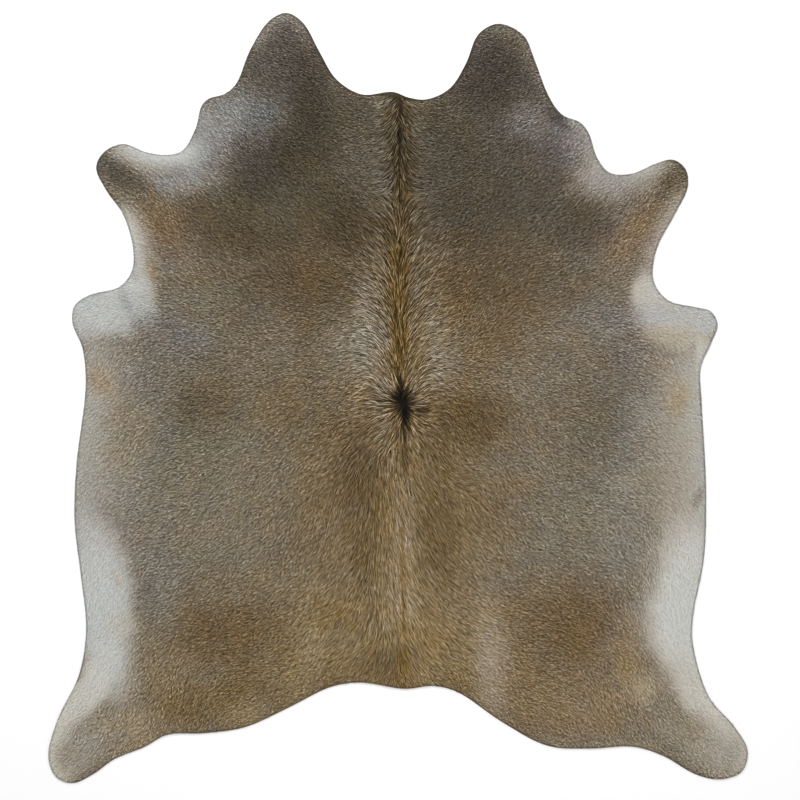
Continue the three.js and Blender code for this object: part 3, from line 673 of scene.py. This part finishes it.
def strands(inside, top):
    """Every strand's four corners, and each corner's tone."""
    root, middle, tip, proud = strand_paths(inside)
    count = len(root)
    spots = [root, root + (middle - root) * MIDDLE_SPOT, root + (tip - root) * TIP_SPOT]
    tones = np.stack([tone_at(spot, inside(*spot.T)) for spot in spots], 1)
    # Painted shadow along the cut edge: each corner's coat is darker right at the edge.
    for k, spot in enumerate([root, middle, tip]):
        tones[:, k, 0] *= 1 - EDGE_PAINTED_SHADOW * bell(inside(*spot.T), EDGE_PAINTED_SHADOW_REACH)
    # A strand that stands higher than those round it hides more of them, and is paler: partly its own tone
    # and partly painted light on the higher strands.
    live = liveliness(tones[:, 0, 0])
    height = (top(*root.T) - SKIN_THICKNESS) * (RISE_SHARE + PROUD_RISE * proud * live) + LEAST_RISE
    height *= rng.uniform(*RISES, count)
    corners = strand_corners(root, middle, tip, height)
    shown = tones[:, CORNER_PARTS]
    live = liveliness(shown[:, :, 0])
    spine, crest = spine_share(*root.T), crest_share(*root.T)
    unlike = STRAND_CONTRAST * proud * (1 + CREST_CONTRAST * crest)
    paler = (unlike - SPINE_SHADE * spine - CREST_SHADE * crest)[:, None]
    one_share = SHADE_BY_LIGHTNESS * shown[:, :, 0] + SHADE_EVERYWHERE
    # Painted shade at the roots and painted light at the tips, besides each strand's own difference.
    shown[:, :, 0] += live * (paler + PART_LIGHT_AND_SHADE[CORNER_PARTS]) * one_share
    shown[:, :, 1] += live * (rng.normal(0, WARMTH_SCATTER, (count, 1)) - PALER_COOLER * paler)
    shown[:, :, 1] += PART_WARMTHS[CORNER_PARTS]
    return corners, np.clip(shown, *TONE_RANGE)


def linear(colour):
    """sRGB numbers from 0 to 1 as the linear ones that a socket takes."""
    return [c / 12.92 if c <= 0.04045 else ((c + 0.055) / 1.055) ** 2.4 for c in colour]


def new_node(tree, kind, **values):
    """A new node with these settings."""
    made = tree.nodes.new(kind)
    for name, value in values.items():
        setattr(made, name, value)
    return made


def new_material(name):
    """A new material, its node tree and its shader."""
    material = bpy.data.materials.new(name)
    material.use_nodes = True
    return material, material.node_tree, material.node_tree.nodes["Principled BSDF"]


def coat_colour(tree, scale=1.0):
    """The coat's colour, from its lightness, warmth and tint at each corner."""
    read = new_node(tree, "ShaderNodeAttribute", attribute_name="tone")
    parts = new_node(tree, "ShaderNodeSeparateXYZ")
    tree.links.new(read.outputs["Vector"], parts.inputs[0])
    mix = new_node(tree, "ShaderNodeMix", data_type="RGBA")
    tree.links.new(parts.outputs["Y"], mix.inputs["Factor"])
    for hue, socket in ((COOL, mix.inputs[6]), (WARM, mix.inputs[7])):
        stops = new_node(tree, "ShaderNodeValToRGB")
        elements = stops.color_ramp.elements
        while len(elements) < len(BRIGHTNESS):
            elements.new(0.5)
        for element, (lightness, brightness) in zip(elements, BRIGHTNESS):
            element.position = lightness
            element.color = linear([min(brightness * part * scale, 1) for part in hue]) + [1]
        tree.links.new(parts.outputs["X"], stops.inputs["Fac"])
        tree.links.new(stops.outputs["Color"], socket)
    lean = new_node(tree, "ShaderNodeMix", data_type="RGBA")
    lean.inputs[6].default_value, lean.inputs[7].default_value = REDDER, GREENER
    tree.links.new(parts.outputs["Z"], lean.inputs["Factor"])
    tinted = new_node(tree, "ShaderNodeMix", data_type="RGBA", blend_type="MULTIPLY")
    tinted.inputs["Factor"].default_value = 1
    tree.links.new(mix.outputs[2], tinted.inputs[6])
    tree.links.new(lean.outputs[2], tinted.inputs[7])
    return tinted.outputs[2]


def hair_material():
    """Soft hair with a faint gloss."""
    material, tree, shader = new_material("cowhide_hair")
    tree.links.new(coat_colour(tree), shader.inputs["Base Color"])
    shader.inputs["Roughness"].default_value = 0.48
    shader.inputs["Specular IOR Level"].default_value = 0.10
    shader.inputs["Sheen Weight"].default_value = 0.05
    shader.inputs["Sheen Roughness"].default_value = 0.5
    return material


def undercoat_material():
    """The skin's upper side: short underhair, darker than the coat with painted shade, which shows in the
    gaps between the strands.
    """
    material, tree, shader = new_material("cowhide_undercoat")
    place = new_node(tree, "ShaderNodeTexCoord")
    fine = new_node(tree, "ShaderNodeTexNoise")
    fine.inputs["Scale"].default_value = 700
    fine.inputs["Detail"].default_value = 3
    tree.links.new(place.outputs["Object"], fine.inputs["Vector"])
    bump = new_node(tree, "ShaderNodeBump")
    bump.inputs["Strength"].default_value = 0.8
    bump.inputs["Distance"].default_value = 0.0008
    tree.links.new(fine.outputs["Fac"], bump.inputs["Height"])
    tree.links.new(bump.outputs["Normal"], shader.inputs["Normal"])
    # the coat's colour, darkened with painted shade for the gaps between the strands
    tree.links.new(coat_colour(tree, UNDERCOAT_PAINTED_SHADE), shader.inputs["Base Color"])
    shader.inputs["Roughness"].default_value = 0.9
    shader.inputs["Specular IOR Level"].default_value = 0.1
    return material


def suede_material():
    """The underside and the cut edge: pale tanned suede with cloudy stains and a fine nap."""
    material, tree, shader = new_material("cowhide_suede")
    place = new_node(tree, "ShaderNodeTexCoord")
    cloud = new_node(tree, "ShaderNodeTexNoise")
    cloud.inputs["Scale"].default_value = 4.5
    cloud.inputs["Detail"].default_value = 5
    nap = new_node(tree, "ShaderNodeTexNoise")
    nap.inputs["Scale"].default_value = 900
    nap.inputs["Detail"].default_value = 4
    for texture in (cloud, nap):
        tree.links.new(place.outputs["Object"], texture.inputs["Vector"])
    tints = new_node(tree, "ShaderNodeValToRGB")
    tints.color_ramp.elements[0].position = 0.30
    tints.color_ramp.elements[0].color = linear((0.56, 0.50, 0.43)) + [1]
    tints.color_ramp.elements[1].position = 0.72
    tints.color_ramp.elements[1].color = linear((0.74, 0.69, 0.62)) + [1]
    tree.links.new(cloud.outputs["Fac"], tints.inputs["Fac"])
    tree.links.new(tints.outputs["Color"], shader.inputs["Base Color"])
    bump = new_node(tree, "ShaderNodeBump")
    bump.inputs["Strength"].default_value = 0.5
    bump.inputs["Distance"].default_value = 0.0004
    tree.links.new(nap.outputs["Fac"], bump.inputs["Height"])
    tree.links.new(bump.outputs["Normal"], shader.inputs["Normal"])
    shader.inputs["Roughness"].default_value = 0.95
    return material


def add_mesh(name, points, faces, tones, uv, materials, face_slots=None):
    """A mesh object from arrays: points and tones by vertex, uv by vertex, and triangles."""
    mesh = bpy.data.meshes.new(name)
    mesh.vertices.add(len(points))
    mesh.vertices.foreach_set("co", points.astype(np.float32).ravel())
    mesh.loops.add(faces.size)
    mesh.loops.foreach_set("vertex_index", faces.astype(np.int32).ravel())
    mesh.polygons.add(len(faces))
    mesh.polygons.foreach_set("loop_start", np.arange(0, faces.size, 3, dtype=np.int32))
    mesh.update(calc_edges=True)
    shown = mesh.attributes.new("tone", "FLOAT_VECTOR", "POINT")
    shown.data.foreach_set("vector", tones.astype(np.float32).ravel())
    layer = mesh.uv_layers.new(name="OFBake", do_init=False)
    layer.uv.foreach_set("vector", uv[faces.ravel()].astype(np.float32).ravel())
    for material in materials:
        mesh.materials.append(material)
    if face_slots is not None:
        mesh.polygons.foreach_set("material_index", face_slots.astype(np.int32))
    mesh.shade_smooth()
    mesh.validate()
    made = bpy.data.objects.new(name, mesh)
    bpy.context.scene.collection.objects.link(made)
    return made


def skin_grid(loop, inside):
    """Points over the rug, the loop's own first, and the triangles between them, counter-clockwise."""
    low, high = loop.min(0), loop.max(0)
    xs, ys = (np.arange(low[k], high[k], SKIN_PITCH) for k in (0, 1))
    gx, gy = (g.ravel() for g in np.meshgrid(xs, ys, indexing="ij"))
    kept = inside(gx, gy) > SKIN_MARGIN
    inner = np.column_stack([gx[kept], gy[kept]])
    # The points are closer together round the whorl.
    fine = np.arange(-WHORL_REACH, WHORL_REACH, WHORL_PITCH)
    fx, fy = (g.ravel() for g in np.meshgrid(fine, fine, indexing="ij"))
    inner = inner[np.abs(inner - WHORL).max(1) > WHORL_REACH + WHORL_PITCH]
    flat = np.concatenate([loop, inner, np.column_stack([fx, fy]) + WHORL])
    rim = len(loop)
    edges = [(i, (i + 1) % rim) for i in range(rim)]
    found = delaunay_2d_cdt([Vector(p) for p in flat], edges, [], 1, 1e-7)
    flat, faces = np.array([tuple(p) for p in found[0]]), np.array(found[2])
    a, b, c = (flat[faces[:, k]] for k in range(3))
    turn = (b[:, 0] - a[:, 0]) * (c[:, 1] - a[:, 1]) - (c[:, 0] - a[:, 0]) * (b[:, 1] - a[:, 1])
    return flat, np.where(turn[:, None] > 0, faces, faces[:, ::-1])


def add_skin(loop, inside, top):
    """The tanned hide: a flat underside, a slanting cut edge and an upper side with underhair."""
    flat, faces = skin_grid(loop, inside)
    rim, count = len(loop), len(flat)
    back = np.roll(loop, 1, 0) - np.roll(loop, -1, 0)
    outwards = np.column_stack([-back[:, 1], back[:, 0]]) / np.linalg.norm(back, axis=1)[:, None]
    upper = flat.copy()
    upper[:rim] += outwards * CUT_SLANT
    lift = SKIN_LIFT * np.maximum(top(flat[:, 0], flat[:, 1]) - PLAIN_TOP, 0)
    points = np.concatenate([
        np.column_stack([upper, SKIN_THICKNESS + lift]),
        np.column_stack([flat, np.zeros(count)]),
    ])
    here = np.arange(rim)
    there = np.roll(here, -1)
    wall = np.concatenate([
        np.column_stack([here + count, there + count, there]),
        np.column_stack([here + count, there, here]),
    ])
    everything = np.concatenate([faces, faces[:, ::-1] + count, wall])
    slots = np.concatenate([np.zeros(len(faces)), np.ones(len(faces) + len(wall))])
    tones = np.tile(tone_at(flat, inside(*flat.T)), (2, 1))
    low, high = loop.min(0), loop.max(0)
    unit = (flat - low) / (high - low).max() * SKIN_UV_SPAN
    uv = np.concatenate([unit + UV_EDGE, unit + (0.5 + UV_EDGE, UV_EDGE)])
    materials = [undercoat_material(), suede_material()]
    return add_mesh("hide_skin", points, everything, tones, uv, materials, slots)


def add_hair(inside, top):
    """All the hair, parted into zones of equal size from the neck to the rump."""
    corners, tones = strands(inside, top)
    order = np.argsort(-corners[:, 0, 1], kind="stable")
    material = hair_material()
    made = []
    for name, part in zip(ZONES, np.array_split(order, len(ZONES))):
        first = np.arange(len(part))[:, None] * 4
        faces = np.concatenate([first + (0, 2, 1), first + (1, 2, 3)])
        own = tones[part].reshape(-1, 3)
        spread = np.tile([0, -UV_SPREAD, UV_SPREAD, 0], len(part))
        uv = np.column_stack([own[:, 1] * UV_SPAN + UV_EDGE + spread, own[:, 0] * UV_SPAN + UV_EDGE])
        made.append(add_mesh(name, corners[part].reshape(-1, 3), faces, own, uv, [material]))
    return made


def add_floor():
    """A plain pale floor, just under the rug so that the two faces don't meet."""
    bpy.ops.mesh.primitive_plane_add(size=FLOOR_SIZE, location=(0, 0, -FLOOR_GAP))
    floor = bpy.context.object
    floor.name = "floor"
    material, tree, shader = new_material("pale_floor")
    shader.inputs["Base Color"].default_value = (0.90, 0.90, 0.90, 1)
    shader.inputs["Roughness"].default_value = 0.9
    floor.data.materials.append(material)


def add_light(name, place, size, power):
    """A square soft light that faces the middle of the rug."""
    data = bpy.data.lights.new(name, "AREA")
    data.size, data.energy = size, power
    light = bpy.data.objects.new(name, data)
    light.location = place
    light.rotation_euler = (-Vector(place)).to_track_quat("-Z", "Y").to_euler()
    bpy.context.scene.collection.objects.link(light)


def add_studio():
    """Soft light from above, the stronger one past the neck, and the camera straight above the rug."""
    add_light("key", (-1.0, 3.2, 3.6), size=2.5, power=170)
    add_light("fill", (1.5, -2.5, 4.5), size=4.0, power=60)
    world = bpy.data.worlds.new("studio")
    world.use_nodes = True
    world.node_tree.nodes["Background"].inputs["Color"].default_value = (1, 1, 1, 1)
    world.node_tree.nodes["Background"].inputs["Strength"].default_value = 0.62
    bpy.context.scene.world = world
    bpy.context.scene.view_settings.view_transform = "Standard"

    data = bpy.data.cameras.new("camera")
    data.sensor_width = 36
    data.lens = data.sensor_width * CAMERA_HEIGHT / FRAME_WIDTH
    camera = bpy.data.objects.new("camera", data)
    camera.location = (*FRAME_MIDDLE, CAMERA_HEIGHT)
    bpy.context.scene.collection.objects.link(camera)
    bpy.context.scene.camera = camera


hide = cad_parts["hide"]
outline = smooth_loop(base_outline(hide), OUTLINE_STEP)
grid_low, grid_high = outline.min(0) - FIELD_MARGIN, outline.max(0) + FIELD_MARGIN
inside_by = Field(edge_distance(outline), grid_low, grid_high, FIELD_PITCH)
top_at = Field(pile_top(hide), grid_low, grid_high, FIELD_PITCH)

skin = add_skin(outline, inside_by, top_at)
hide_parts("hide")
hair = add_hair(inside_by, top_at)
for piece in [skin, *hair]:
    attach(piece, "root")

add_floor()
add_studio()
